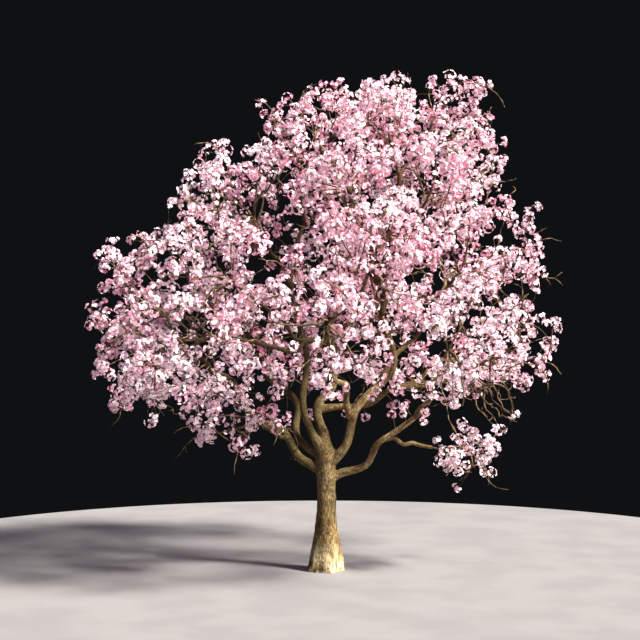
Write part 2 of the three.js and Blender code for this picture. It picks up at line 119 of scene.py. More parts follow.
# Limbs: parent, share of the parent's length, seed. Each ends just inside its masses.
BRANCHES = {
    "limb_left_front": ("bough_low_left", 0.97, 21),
    "limb_front_left_low": ("bough_low_left", 0.38, 22),
    "limb_left_back": ("bough_mid_left", 0.9, 23),
    "limb_upper_left": ("bough_centre_left", 0.84, 24),
    "limb_top_left": ("bough_centre_left", 0.97, 25),
    "limb_back": ("bough_centre_back", 0.95, 27),
    "limb_back_left": ("bough_centre_back", 0.7, 28),
    "limb_back_high": ("bough_centre_back", 0.85, 29),
    "limb_right_back": ("limb_crossing", 0.55, 30),
    "limb_top": ("bough_right", 0.8, 31),
    "limb_upper_right": ("limb_top", 0.36, 32),
    "limb_upper_front": ("limb_top", 0.14, 33),
    "limb_upper_back": ("limb_top", 0.26, 34),
    "limb_right_high": ("bough_right", 0.5, 35),
    "limb_hanging_right": ("bough_low_right", 0.62, 37),
    "limb_right_front": ("bough_low_right", 0.95, 38),
    "limb_front": ("bough_front", 0.96, 39),
    "limb_front_left": ("bough_front", 0.86, 40),
    "limb_front_high_left": ("bough_front", 0.74, 41),
    "limb_front_high_right": ("bough_front", 0.62, 42),
}

# Rings of masses: turn, height, slope, tilt, lift, aside, width, depth, radius, sprays, and the
# limb of each.
TIERS = {
    "skirt": (-10, 3980, 0, 0.04, 430, -20, 3280, 3350, 1120, 13,
              ("limb_crossing", "limb_right_back", "limb_back", "limb_back_left", "limb_left_back",
               "limb_left_front", "limb_front_left", "limb_front", "limb_right_front")),
    "shoulder": (-20, 5400, 0.1, 0.05, 0, -150, 3000, 2700, 1080, 13,
                 ("limb_right_high", "limb_right_high", "limb_back_high", "limb_left_back",
                  "limb_left_front", "limb_front_high_left", "limb_front_high_right")),
    "upper": (30, 6800, 0.11, 0.03, 0, 300, 2020, 1800, 1030, 13,
              ("limb_upper_right", "limb_upper_back", "limb_upper_left", "limb_upper_left",
               "limb_upper_front", "limb_upper_right")),
    "top": (0, 7710, 0.12, 0, 0, 1000, 1290, 800, 900, 12,
            ("limb_top", "limb_top", "limb_top_left", "limb_top")),
}

# Single masses: limb, centre, radius, flatness, sprays.
LONE_MASSES = {
    "mass_heart_right": ("bough_right", (380, -420, 5500), 850, 1, 10),
    "mass_heart_left": ("bough_mid_left", (-1200, -850, 4450), 850, 1, 10),
    "mass_low_right": ("limb_crossing", (2300, -600, 3120), 900, 0.5, 8),
    "mass_hanging_right": ("limb_hanging_right", (2380, -260, 2160), 600, 1, 8),
    "mass_hanging_left": ("limb_front_left_low", (-1480, -900, 2860), 1000, 0.65, 8),
}

HEART = np.array((200.0, 0.0, 5000.0))
UP = np.array((0.0, 0.0, 1.0))
STEM_SHARE = 0.5  # of the way from a limb's end to a mass's middle that its stem runs
STEM_SINK = 34
TWIG_TIP = 6.5
SPRAY_RADIUS = 285
SPRAY_SPACING = 1.65
FIRST_SEED = 5225
ROOM = 12
TRIES = 1.34  # directions tried for each spray asked for
PLACE_SHARES = (1, 0.8, 0.62)  # of its reach: where a spray is tried, until it finds room
LEAST_OUT = 0.3
RISE_JITTER = 0.16
ANGLE_JITTER = 0.7
STEM_ROOM = 26
TWIG_ROOM = 14
PATH_WEIGHT = 0.35
TURN_WEIGHT = 0.35
INWARD = -0.5  # sprays that would face the head's middle more than this are left out
SHELL = (0.64, 0.26)  # of its mass's radius, how far out a spray lies: from, and how much more
SHELL_POWER = 0.6
CORE_SHARE = 0.16  # share of the sprays that lie deeper, at CORE_DEPTH of that
CORE_DEPTH = 0.6
FACE_STEM = 0.8  # how far a spray looks along its twig, beside out from its mass
FACE_UP = 0.25
GOLDEN_TURN = math.pi * (3 - math.sqrt(5))

# Finer growth: what each spray of the rule above is made of.

SHOOTS = (6, 11)  # least and most shoots at the end of each twig
# The share of those shoots that a mass carries, where it isn't 1: less where sky shows through the
# crown, and more where its top is full.
SHOOT_SHARE = dict(
    top_3=0.8, top_4=1.2, upper_3=0.55, upper_4=0.6, upper_5=1.15, upper_6=1.15, shoulder_1=0.75,
    shoulder_4=0.6, shoulder_6=0.6, heart_left=0.7, heart_right=0.7, skirt_1=0.45, skirt_2=0.4,
    skirt_3=0.7, skirt_4=0.7, skirt_8=0.6, skirt_9=0.65, low_right=0.35, hanging_left=0.7)
SHOOT_LENGTH = (170, 430)
SHOOT_STEP = 130  # from one pompom to the next along a shoot
SHOOT_STRAY = (0.5, 0.6)  # of its step, how far out a pompom stands: from, and how much more
SHOOT_LEAN = 0.45  # how far the shoots lean the way their spray looks
SHOOT_LIFT = 0.2  # and how far they turn up
SHOOT_WANDER = 45  # a pompom stands this far off its shoot's line
POMPOM_SPACING = (120, 190)  # from spray to spray, which makes some denser
POMPOM_ROOM = 75  # least gap from a pompom's middle to the bark of a limb
POMPOM_RADIUS = (58, 100)  # from the middle of a pompom to the middles of its flowers
BOX_MARGIN = 125  # a pompom's middle stays this far inside the solids' box
LOWEST_BLOSSOM = 1450  # height under which nothing fine grows
ROOTED = 0.1  # share of a twig's last step that what grows on its end starts back inside it
TWIGLET_TIP = 5.0
BARE_SHARE = 0.85  # share of the twigs' ends with one crooked shoot that has no flowers
BARE_STEPS = 4
BARE_STEP = (110, 220)
BARE_STRAY = 0.8  # how far such a shoot strays from the way it is sent
BARE_TURN = 0.55  # how strongly it turns at each step
BARE_FORK = 0.6  # share of the steps that fork
FORK_TURN = 1.2  # how far a fork turns off
BARE_TIP = 5.5
LONG_SHOOTS = 3  # crooked shoots from the stem of each mass, out through its blossom
LONG_STEPS = 9
FLOWERING_TIPS = 0.6  # share of the long shoots with a row of pompoms past their tip
TIP_LENGTH = 330  # of that row
SPUR_GAP = 260  # from one side twig to the next along a limb
SPUR_START = 0.25  # share of a limb before its first side twig
SPUR_LENGTH = (140, 820)
SPUR_BARE = 0.45  # share of a side twig before its first pompom
SPUR_LIFT = 0.2  # how far a side twig turns up
SPUR_LOWEST = 2350  # side twigs that start lower would hide the fork, and are left out


def unit(vectors):
    """Each vector divided by its length."""
    return vectors / np.linalg.norm(vectors, axis=-1, keepdims=True)


def joined(rows):
    """Each column of several rows of arrays, as one array."""
    return [np.concatenate(column) for column in zip(*rows)]


def seeded(seed):
    """Draws from 0 to 1: the state is multiplied by 1664525, 1013904223 is added, modulo 2^32."""
    state = seed

    def draw():
        nonlocal state
        state = (state * 1664525 + 1013904223) % 2**32
        return state / 2**32

    return draw


def bell(x, width):
    """A bell curve: e to the power of minus the square of x over the width."""
    return np.exp(-((x / width) ** 2))


def even_angles(count):
    """Angles at even steps round a turn."""
    return np.arange(count) * 2 * math.pi / count


def direction(bearing, pitch):
    """The unit vector at a bearing from +X towards +Y and a pitch above level, in degrees."""
    b, p = math.radians(bearing), math.radians(pitch)
    return np.array((math.cos(p) * math.cos(b), math.cos(p) * math.sin(b), math.sin(p)))


def gaps_between(p, q, a, b):
    """Least distance from the segment p-q to each segment a-b: the nearest shares s and t along
    the two lines, each held from 0 to 1, and the length of what joins them."""
    u, v, w = q - p, b - a, p - a
    uu, uv, vv = u @ u, v @ u, np.sum(v * v, axis=1)
    uw, vw = w @ u, np.sum(v * w, axis=1)
    area = uu * vv - uv * uv
    level = area > 1e-6 * uu * vv
    s = np.where(level, np.clip((uv * vw - vv * uw) / np.where(level, area, 1), 0, 1), 0)
    t = np.where(vv > 0, np.clip((uv * s + vw) / np.where(vv > 0, vv, 1), 0, 1), 0)
    if uu > 0:
        s = np.clip((uv * t - uw) / uu, 0, 1)
    return np.linalg.norm(w + s[:, None] * u - t[:, None] * v, axis=1)


def trunk_axis(z):
    """The trunk's middle at height z: bow times the sine of half a turn over its height."""
    z = np.asarray(z, float)
    return np.stack((TRUNK["bow"] * np.sin(math.pi * z / TRUNK["top"]), 0 * z, z), axis=-1)


def trunk_radius(z):
    """Waist plus an even taper, plus two bell curves: the root flare and the fork's swelling."""
    column = TRUNK["waist"] + TRUNK["taper"] * (1 - z / TRUNK["fork"])
    flare = TRUNK["flare"] * bell(z, TRUNK["flare_height"])
    return column + flare + TRUNK["swelling"] * bell(z - TRUNK["fork"], TRUNK["swelling_height"])


def bezier(p0, p1, p2, p3, t):
    """The cubic through p0 and p3 that is drawn towards p1 and p2, at shares t."""
    r = 1 - t
    return r**3 * p0 + 3 * r * r * t * p1 + 3 * r * t * t * p2 + t**3 * p3


def frame_of(chord, random):
    """Two unit vectors square to a chord and to each other, the first at a drawn bearing."""
    side = unit(np.cross(direction(360 * random(), 0), chord))
    return side, np.cross(chord, side)


def limb_points(limb, steps):
    """A Bezier curve from start to tip, with a sway of two waves that is nothing at its ends."""
    random = seeded(limb["seed"])
    start, tip = limb["start"], limb["tip"]
    length = np.linalg.norm(tip - start)
    t = np.linspace(0, 1, steps + 1)[:, None]
    curve = bezier(start, start + limb["leaves"] * length / 3,
                   tip - limb["arrives"] * length / 3, tip, t)
    side, other = frame_of(unit(tip - start), random)
    phase = random()
    wander = SWAY * length * np.sin(math.pi * t)
    return (curve + side * wander * np.sin(2 * math.pi * (SWAY_WAVES[0] * t + phase))
            + other * wander * np.cos(2 * math.pi * (SWAY_WAVES[1] * t + phase)))


def limb_radii(limb, steps):
    """An even taper from root to end, plus a collar that dies away as a bell curve."""
    t = np.linspace(0, 1, steps + 1)
    root = limb["root"]
    return root + (limb["end"] - root) * t + root * COLLAR * bell(t, COLLAR_LENGTH)


limbs = {}


def on_limb(points, share):
    """The point and direction at a share of a limb's steps, the step it is on, and how far."""
    place = share * (len(points) - 1)
    i = min(int(place), len(points) - 2)
    step = points[i + 1] - points[i]
    return points[i] + (place - i) * step, unit(step), i, place - i


def on_parent(parent, share):
    """The point, direction and radius of a limb, or of the trunk, at a share of its length."""
    if parent == "trunk":
        z = TRUNK["top"] * share
        return trunk_axis(z), UP, trunk_radius(z)
    point, along, i, f = on_limb(limbs[parent]["points"], share)
    radii = limbs[parent]["radii"]
    return point, along, radii[i] + f * (radii[i + 1] - radii[i])


def add_limb(name, steps, **limb):
    limb["points"] = limb_points(limb, steps)
    limb["radii"] = limb_radii(limb, steps)
    limbs[name] = limb


def add_bough(name, parent, share, root, end, tip, leaves, arrives, seed):
    start, _, _ = on_parent(parent, share)
    add_limb(name, LIMB_STEPS, start=start, tip=np.array(tip, float), root=root, end=end,
             leaves=direction(*leaves), arrives=direction(*arrives), seed=seed)


def add_branch(name, parent, share, seed):
    start, along, radius = on_parent(parent, share)
    carried = [mass for mass in masses if mass["limb"] == name]
    middle = np.mean([mass["centre"] for mass in carried], axis=0)
    way = unit(middle - start)
    tip = middle - way * STOP_SHORT * carried[0]["radius"]
    end = TIP_LEAST + TIP_PER_MASS * len(carried)
    add_limb(name, BRANCH_STEPS, start=start, tip=tip, end=end, seed=seed,
             root=min(BRANCH_SHARE * radius, end + BRANCH_TAPER),
             leaves=unit(BRANCH_LEAVE * along + way), arrives=unit(way + BRANCH_RISE * UP))


def ring_masses(name, turn, height, slope, tilt, lift, aside, width, depth, radius, sprays,
                carriers):
    """The masses of a ring: centres on an ellipse, at even bearings from turn on, which rises with
    x by slope, falls with y by tilt, and arches by lift times the fourth power of the sine."""
    made = []
    for i, limb in enumerate(carriers):
        bearing = math.radians(turn) + 2 * math.pi * i / len(carriers)
        x, y = aside + width * math.cos(bearing), depth * math.sin(bearing)
        centre = np.array((x, y, height + slope * x - tilt * y + lift * math.sin(bearing) ** 4))
        made.append(dict(name=f"mass_{name}_{i + 1}", limb=limb, centre=centre, radius=radius,
                         flat=1, sprays=sprays))
    return made


masses = [mass for name, ring in TIERS.items() for mass in ring_masses(name, *ring)]
masses += [dict(name=name, limb=limb, centre=np.array(centre, float), radius=radius, flat=flat,
                sprays=sprays)
           for name, (limb, centre, radius, flat, sprays) in LONE_MASSES.items()]


def reach_in(mass, toward):
    """How far a spray can lie from the mass's centre, in a direction, before it meets the wall
    between this mass and another: a plane that stands nearer to the smaller of the two."""
    reach = math.inf
    for other in masses:
        if other is mass:
            continue
        between = other["centre"] - mass["centre"]
        distance = np.linalg.norm(between)
        slope = toward @ between / distance
        if slope > 0:
            wall = distance * mass["radius"] / (mass["radius"] + other["radius"])
            reach = min(reach, (wall - SPRAY_RADIUS - ROOM) / slope)
    return reach


def limb_segments():
    """The ends and radii of every straight stretch of every limb."""
    return joined((limb["points"][:-1], limb["points"][1:], limb["radii"][:-1])
                  for limb in limbs.values())


def obstacles_for(mass):
    """What the twigs of a mass keep clear of: all limbs, and the stems of the other masses."""
    others = [other for other in masses if other is not mass]
    tip = np.array([limbs[other["limb"]]["points"][-1] for other in others])
    stem = tip + STEM_SHARE * (np.array([other["centre"] for other in others]) - tip)
    return joined((limb_segments(), (tip, stem, np.full(len(others), STEM_ROOM))))


def spiral_direction(k, tries, random):
    """Step k of a golden spiral over the sphere, its height and angle unsettled by two draws."""
    rise = min(max(1 - (2 * k + 1) / tries + RISE_JITTER * (random() - 0.5), -1), 1)
    angle = k * GOLDEN_TURN + ANGLE_JITTER * (random() - 0.5)
    level = math.sqrt(1 - rise * rise)
    return np.array((level * math.cos(angle), level * math.sin(angle), rise))


def spray_points(mass, obstacles, random):
    """Where the sprays of a mass lie: the golden spiral round its centre, at seeded depths."""
    a, b, radius = obstacles
    outward = unit(mass["centre"] - HEART)
    points = []
    tries = math.ceil(mass["sprays"] * TRIES)
    for k in range(tries):
        toward = spiral_direction(k, tries, random)
        deep = CORE_DEPTH if random() < CORE_SHARE else 1
        reach = mass["radius"] * (SHELL[0] + SHELL[1] * random() ** SHELL_POWER) * deep
        if toward @ outward < INWARD:
            continue
        for share in PLACE_SHARES:
            out = min(reach, reach_in(mass, toward)) * share
            point = mass["centre"] + toward * out * (1, 1, mass["flat"])
            spacing = SPRAY_SPACING * SPRAY_RADIUS
            free = (out > LEAST_OUT * mass["radius"]
                    and np.all(gaps_between(point, point, a, b) > SPRAY_RADIUS + radius + ROOM)
                    and all(np.linalg.norm(p - point) > spacing for p in points))
            if free:
                points.append(point)
                break
    return np.array(points)


def grow(root, stem, points, obstacles, tip_radius):
    """Twigs as a tree of nodes: the root, the end of the stem, and one node for each point, each
    joined to the node that gives it the shortest and straightest way back. A node's radius is the
    tip's times the square root of the number of points that it bears."""
    a, b, radius = obstacles
    places, parents, paths = [root, stem], [0, 0], [0.0, 0.0]
    waiting = list(range(len(points)))
    while waiting:
        nodes = np.array(places[1:])
        before = unit(nodes - np.array(places)[parents[1:]])
        step = points[waiting][:, None] - nodes
        length = np.linalg.norm(step, axis=2)
        turn = 1 - np.sum(step * before, axis=2) / length
        cost = length * (1 + TURN_WEIGHT * turn) + PATH_WEIGHT * np.array(paths[1:])
        for best in np.argsort(cost, axis=None):
            w, n = divmod(int(best), len(nodes))
            if np.all(gaps_between(nodes[n], points[waiting[w]], a, b) > TWIG_ROOM + radius + ROOM):
                break
        else:
            break
        places.append(points[waiting[w]])
        parents.append(n + 1)
        paths.append(paths[n + 1] + length[w, n])
        waiting.pop(w)
    bears = np.ones(len(places))
    bears[:2] = 0
    for i in range(len(places) - 1, 0, -1):
        bears[parents[i]] += bears[i]
    return dict(places=np.array(places), parents=np.array(parents),
                radii=tip_radius * np.sqrt(np.maximum(bears, 1)))


def grow_mass(mass, index):
    """The twigs of a mass, from its stem to the middles of its sprays."""
    obstacles = obstacles_for(mass)
    points = spray_points(mass, obstacles, seeded(FIRST_SEED + index))
    limb = limbs[mass["limb"]]["points"]
    into = unit(limb[-1] - limb[-2])
    return grow(limb[-1] - STEM_SINK * into, limb[-1] + STEM_SHARE * (mass["centre"] - limb[-1]),
                points, obstacles, TWIG_TIP)


for name, bough in BOUGHS.items():
    add_bough(name, *bough)
for name, branch in BRANCHES.items():
    add_branch(name, *branch)
twig_trees = [grow_mass(mass, index) for index, mass in enumerate(masses)]

# Finer growth

BOX_LOW = np.array(cad_box[0]) / MM
BOX_HIGH = np.array(cad_box[1]) / MM
SEGMENTS = limb_segments()
# The obstacles of twigs that have none.
NOWHERE = (np.full((1, 3), 1e9), np.full((1, 3), 1e9), np.zeros(1))


def between(bounds, random):
    """A draw between two bounds."""
    return bounds[0] + (bounds[1] - bounds[0]) * random()


def any_way(random):
    """A direction drawn from a bearing and a pitch."""
    return direction(360 * random(), 180 * random() - 90)


def in_box(point):
    """Whether a point lies inside the solids' box and above the lowest blossom."""
    return (np.all(point > BOX_LOW + BOX_MARGIN) and np.all(point < BOX_HIGH - BOX_MARGIN)
            and point[2] > LOWEST_BLOSSOM)


def has_room(point, taken, spacing):
    """Whether a pompom can stand at a point: inside the solids' box, off the bark, and no nearer
    than the spacing to those that stand."""
    a, b, radius = SEGMENTS
    return (in_box(point) and np.all(gaps_between(point, point, a, b) > POMPOM_ROOM + radius)
            and (not len(taken) or np.min(np.linalg.norm(taken - point, axis=1)) > spacing))


def shoot_points(centre, toward, length, taken, spacing, random):
    """Places for pompoms along one shoot: even steps out, each a little aside, and raised by the
    square of the way out, so that the shoot turns up."""
    points = []
    for k in range(int(length / SHOOT_STEP) + 1):
        out = min((k + SHOOT_STRAY[0] + SHOOT_STRAY[1] * random()) * SHOOT_STEP, length)
        aside = any_way(random) * SHOOT_WANDER
        point = centre + toward * out + aside + UP * SHOOT_LIFT * out * out / length
        if has_room(point, np.concatenate((taken, points)) if points else taken, spacing):
            points.append(point)
    return points


def grow_spray(end, back, mass, taken, random):
    """The shoots and pompoms round the end of one twig: directions from the golden spiral, all
    leaning the way the spray looks."""
    facing = unit(FACE_STEM * unit(end - back) + unit(end - mass["centre"]) + FACE_UP * UP)
    near = taken[np.linalg.norm(taken - end, axis=1) < SHOOT_LENGTH[1] + 2 * POMPOM_SPACING[1]]
    spacing = between(POMPOM_SPACING, random)
    share = SHOOT_SHARE.get(mass["name"].removeprefix("mass_"), 1)
    shoots = round(between(SHOOTS, random) * share)
    points = np.zeros((0, 3))
    for k in range(shoots):
        toward = unit(spiral_direction(k, shoots, random) + SHOOT_LEAN * facing)
        found = shoot_points(end, toward, between(SHOOT_LENGTH, random),
                             np.concatenate((near, points)), spacing, random)
        points = np.concatenate((points, found)) if found else points
    return points, facing


def new_spray(root, end, points, facing, random):
    """A spray: its twiglets, from a root by way of an end to its pompoms, which way it looks, and a
    draw for its tint."""
    tree = grow(root, end, np.array(points), NOWHERE, TWIGLET_TIP)
    return dict(tree=tree, facing=facing, tint=random())


def bare_shoot(root, end, facing, steps, random):
    """A crooked shoot: points at drawn steps along a way that turns a little each time, most with
    a side tip. Points outside the solids' box or under the lowest blossom are left out."""
    way, place, points = unit(facing + BARE_STRAY * any_way(random)), end, []
    for _ in range(steps):
        way = unit(way + BARE_TURN * any_way(random))
        side = unit(way + FORK_TURN * any_way(random)) * between(BARE_STEP, random)
        if random() < BARE_FORK:
            points.append(place + side)
        place = place + way * between(BARE_STEP, random)
        points.append(place)
    points = [point for point in points if in_box(point)]
    return grow(root, end, np.array(points), NOWHERE, BARE_TIP) if points else None


def grow_sprays():
    """Every spray, also those past long shoots and on side twigs, and the bare shoots, which are
    trees of twiglets alone."""
    taken, grown, bare = np.zeros((0, 3)), [], []
    for index, (mass, tree) in enumerate(zip(masses, twig_trees)):
        random = seeded(2 * FIRST_SEED + index)
        for i in range(2, len(tree["places"])):
            end = tree["places"][i]
            back = tree["places"][tree["parents"][i]]
            root = end - ROOTED * (end - back)
            points, facing = grow_spray(end, back, mass, taken, random)
            if len(points):
                taken = np.concatenate((taken, points))
                grown.append(new_spray(root, end, points, facing, random))
            if random() < BARE_SHARE:
                bare.append(bare_shoot(root, end, facing, BARE_STEPS, random))
        back, stem = tree["places"][:2]
        root = stem - ROOTED * (stem - back)
        for _ in range(LONG_SHOOTS):
            way = unit(unit(mass["centre"] - HEART) + BARE_STRAY * any_way(random))
            shoot = bare_shoot(root, stem, way, LONG_STEPS, random)
            bare.append(shoot)
            if shoot and random() < FLOWERING_TIPS:
                tip, before = shoot["places"][-1], shoot["places"][shoot["parents"][-1]]
                way = unit(tip - before)
                found = shoot_points(tip, way, TIP_LENGTH, taken, POMPOM_SPACING[0], random)
                if found:
                    taken = np.concatenate((taken, found))
                    grown.append(new_spray(before, tip, found, way, random))
    for index, limb in enumerate(limbs.values()):
        random = seeded(3 * FIRST_SEED + index)
        for spur in grow_spurs(limb, taken, random):
            taken = np.concatenate((taken, spur["tree"]["places"][2:]))
            grown.append(spur)
    return grown, [shoot for shoot in bare if shoot]


def grow_spurs(limb, taken, random):
    """Side twigs straight on a limb: at even gaps along it, square to it at a drawn angle and a
    little up, bare at first and with a loose row of pompoms to their end."""
    points, radii = limb["points"], limb["radii"]
    steps = np.linalg.norm(np.diff(points, axis=0), axis=1)
    count = int((1 - SPUR_START) * np.sum(steps) / SPUR_GAP)
    made = []
    for k in range(count):
        share = SPUR_START + (1 - SPUR_START) * (k + random()) / count
        root, along, i, _ = on_limb(points, share)
        out = unit(np.cross(along, any_way(random)) + SPUR_LIFT * UP)
        length = between(SPUR_LENGTH, random)
        stem = root + out * (radii[i] + SPUR_BARE * length)
        found = shoot_points(stem, out, (1 - SPUR_BARE) * length, taken, POMPOM_SPACING[1], random)
        if found and root[2] > SPUR_LOWEST:
            taken = np.concatenate((taken, found))
            made.append(new_spray(root, stem, found, out, random))
    return made


sprays, bare_shoots = grow_sprays()

# Surfaces


def make_piece(name, corners, triangles, smooth):
    """A mesh object of corners, in millimetres, and triangles."""
    data = bpy.data.meshes.new(name)
    data.from_pydata(corners * MM, [], triangles, shade_flat=not smooth)
    data.validate()
    return link_object(name, data)


def ring_triangles(rings, sides):
    """The triangles of one closed tube: two for each cell between ring i and i + 1, and a fan to
    the pole at each end, which are the last two corners."""
    i, j = np.meshgrid(np.arange(rings - 1), np.arange(sides), indexing="ij")
    a, b = i * sides + j, i * sides + (j + 1) % sides
    c, d = a + sides, b + sides
    wall = [np.stack(corners, -1).reshape(-1, 3) for corners in ((a, b, d), (a, d, c))]
    j = np.arange(sides)
    k = (j + 1) % sides
    foot, head = rings * sides, rings * sides + 1
    last = (rings - 1) * sides
    return np.concatenate((*wall, np.stack((k, j, 0 * j + foot), -1),
                           np.stack((last + j, last + k, 0 * j + head), -1)))


def off_axis(axis):
    """A vector well away from each axis: up, or X where the axis stands nearly upright."""
    return np.where(np.abs(axis[:, 2:]) < 0.9, UP, np.array((1.0, 0.0, 0.0)))


def tubes(paths, radii, sides):
    """Many closed tubes at once. Round point i of a path runs a ring: the point plus its radius
    times (cos a times side + sin a times other), for even angles a. The side vector starts square
    to the first step and is carried on by taking out its share along each next step. The poles
    lie a third of a radius past the ends."""
    count, rings, _ = paths.shape
    along = unit(np.gradient(paths, axis=1))
    side = np.empty_like(paths)
    for i in range(rings):
        carried = side[:, i - 1] if i else off_axis(along[:, 0])
        side[:, i] = unit(carried - np.sum(carried * along[:, i], -1, keepdims=True) * along[:, i])
    other = np.cross(along, side)
    angle = even_angles(sides)
    spoke = np.cos(angle)[:, None] * side[:, :, None] + np.sin(angle)[:, None] * other[:, :, None]
    wall = paths[:, :, None] + radii[:, :, None, None] * spoke
    foot = paths[:, 0] - along[:, 0] * radii[:, :1] / 3
    head = paths[:, -1] + along[:, -1] * radii[:, -1:] / 3
    corners = np.concatenate((wall.reshape(count, -1, 3), foot[:, None], head[:, None]), axis=1)
    each = corners.shape[1]
    triangles = ring_triangles(rings, sides)[None] + (np.arange(count) * each)[:, None, None]
    return corners.reshape(-1, 3), triangles.reshape(-1, 3)


def lattice_noise(points, seed):
    """Smooth noise from -1 to 1: a seeded value at each corner of a unit lattice, blended across
    each cell by 3t^2 - 2t^3."""
    cell = np.floor(points).astype(np.int64)
    t = points - cell
    t = t * t * (3 - 2 * t)
    total = np.zeros(len(points))
    for corner in np.ndindex(2, 2, 2):
        x, y, z = (cell + corner).T
        # Large odd numbers scatter the corner's place and the seed over 16 bits.
        mixed = (x * 73856093) ^ (y * 19349663) ^ (z * 83492791) ^ (seed * 2654435761)
        mixed = (mixed ^ (mixed >> 13)) * 1274126177
        value = ((mixed ^ (mixed >> 16)) & 0xFFFF) / 32767.5 - 1
        weight = np.prod(np.where(corner, t, 1 - t), axis=1)
        total += weight * value
    return total


# Bark

BARK_VOXEL = 0.0142  # metres
SMOOTHING = 0.5  # how far each corner moves towards its neighbours' middle
SMOOTHINGS = 4
BARK_SIDES = 22
BARK_STEPS = 44
AXIS_STEPS = 24  # points along the trunk's middle that its bark is laid by
TRUNK_SIDES = 72
TRUNK_RINGS = 90
TRUNK_DOME = 160  # how far below its top the trunk starts to draw in
TRUNK_CREST = 0.12  # the square of the share of its radius that is left at the top
GROUND_SINK = 60  # how far under the ground the trunk's skin starts, before it is cut there
LIMB_SIDES = 16
LIMB_RINGS = 46
CROOK = 0.015  # small bends of a limb, as a share of its length
CROOK_WAVES = (3.1, 2.3)
CROOK_SEED = 500
FISSURE_WIDTH = 34.0  # across the stem
FISSURE_LENGTH = 190.0  # and along it
FISSURE_DEPTH = 7.0
FISSURE_BEND = 0.6  # how far the lumps push a fissure aside, in its widths
FISSURE_FINER = 1.9  # how much finer the second set of fissures is
FISSURE_SHARES = (0.65, 0.35)  # of the first set and of the second
FISSURE_EDGE = 0.62  # the height of the ridged noise where a fissure starts
FISSURE_STEEP = 1.4
LUMP_SIZE = 260.0
LUMP_HEIGHT = 9.0
LUMP_FINER = 2.7
LUMP_FINE_SHARE = 0.4
RELIEF = (1.35, 0.22)  # the relief's scale at the ground, and what it loses with each metre up
RELIEF_BOUNDS = (0.35, 1.2)
LIMB_RELIEF = 0.4
RELIEF_START = 0.03  # metres over which the relief grows from nothing at the ground
PATTERN_GAP = 5000  # from one limb's part of the pattern to the next's
PATTERN_WAY = (0.3, 1.0, 0.1)  # a direction that no limb runs along


def crooked(points, seed):
    """A limb's points, moved by two short sine waves that are nothing at both ends."""
    random = seeded(seed + CROOK_SEED)
    t = np.linspace(0, 1, len(points))[:, None]
    length = np.linalg.norm(points[-1] - points[0])
    side, other = frame_of(unit(points[-1] - points[0]), random)
    size = CROOK * length * np.sin(math.pi * t) ** 0.5
    for way, waves in zip((side, other), CROOK_WAVES):
        points = points + way * size * np.sin(2 * math.pi * (waves * t + random()))
    return points


def trunk_surface():
    """The trunk: a ring at each height, the axis plus the radius times (cos a, sin a), the radius
    ribbed by the cosine of five turns near the ground, and domed over the top."""
    z = np.linspace(-GROUND_SINK, TRUNK["top"], TRUNK_RINGS)
    angle = even_angles(TRUNK_SIDES)
    near_ground = bell(z, TRUNK["flare_height"])[:, None]
    rib = 1 + TRUNK["lobe_depth"] * near_ground * np.cos(TRUNK["lobes"] * angle)
    dome = np.sqrt(np.clip((TRUNK["top"] - z) / TRUNK_DOME, TRUNK_CREST, 1))[:, None]
    radius = trunk_radius(np.maximum(z, 0))[:, None] * rib * dome
    spoke = np.stack((np.cos(angle), np.sin(angle), 0 * angle), axis=-1)
    wall = trunk_axis(z)[:, None] + radius[:, :, None] * spoke
    corners = np.concatenate((wall.reshape(-1, 3), trunk_axis(z[[0, -1]])))
    return corners, ring_triangles(TRUNK_RINGS, TRUNK_SIDES)


def fine_limb(name, steps):
    """The smooth line and radii of a limb, in millimetres."""
    limb = limbs[name]
    return crooked(limb_points(limb, steps), limb["seed"]), limb_radii(limb, steps)


def fused(surfaces):
    """One closed skin round overlapping surfaces, from even voxels, with its steps smoothed."""
    firsts = np.cumsum([0] + [len(corners) for corners, _ in surfaces])
    corners, triangles = joined((corners, triangles + first)
                                for (corners, triangles), first in zip(surfaces, firsts))
    rough = make_piece("rough_bark", corners, triangles, True)
    remesh = rough.modifiers.new("fuse", "REMESH")
    remesh.mode = "VOXEL"
    remesh.voxel_size = BARK_VOXEL
    smooth = rough.modifiers.new("smooth", "SMOOTH")
    smooth.factor = SMOOTHING
    smooth.iterations = SMOOTHINGS
    graph = bpy.context.evaluated_depsgraph_get()
    data = bpy.data.meshes.new_from_object(rough.evaluated_get(graph))
    bpy.data.objects.remove(rough)
    return data


def cut_at_ground(data):
    """Takes off what lies below the ground and closes the cut with one level face."""
    work = bmesh.new()
    work.from_mesh(data)
    everything = work.verts[:] + work.edges[:] + work.faces[:]
    bmesh.ops.bisect_plane(work, geom=everything, plane_co=(0, 0, 0), plane_no=(0, 0, 1),
                           clear_inner=True)
    rim = [edge for edge in work.edges if edge.is_boundary]
    bmesh.ops.contextual_create(work, geom=rim)
    bmesh.ops.triangulate(work, faces=[f for f in work.faces if len(f.verts) > 4])
    work.to_mesh(data)
    work.free()


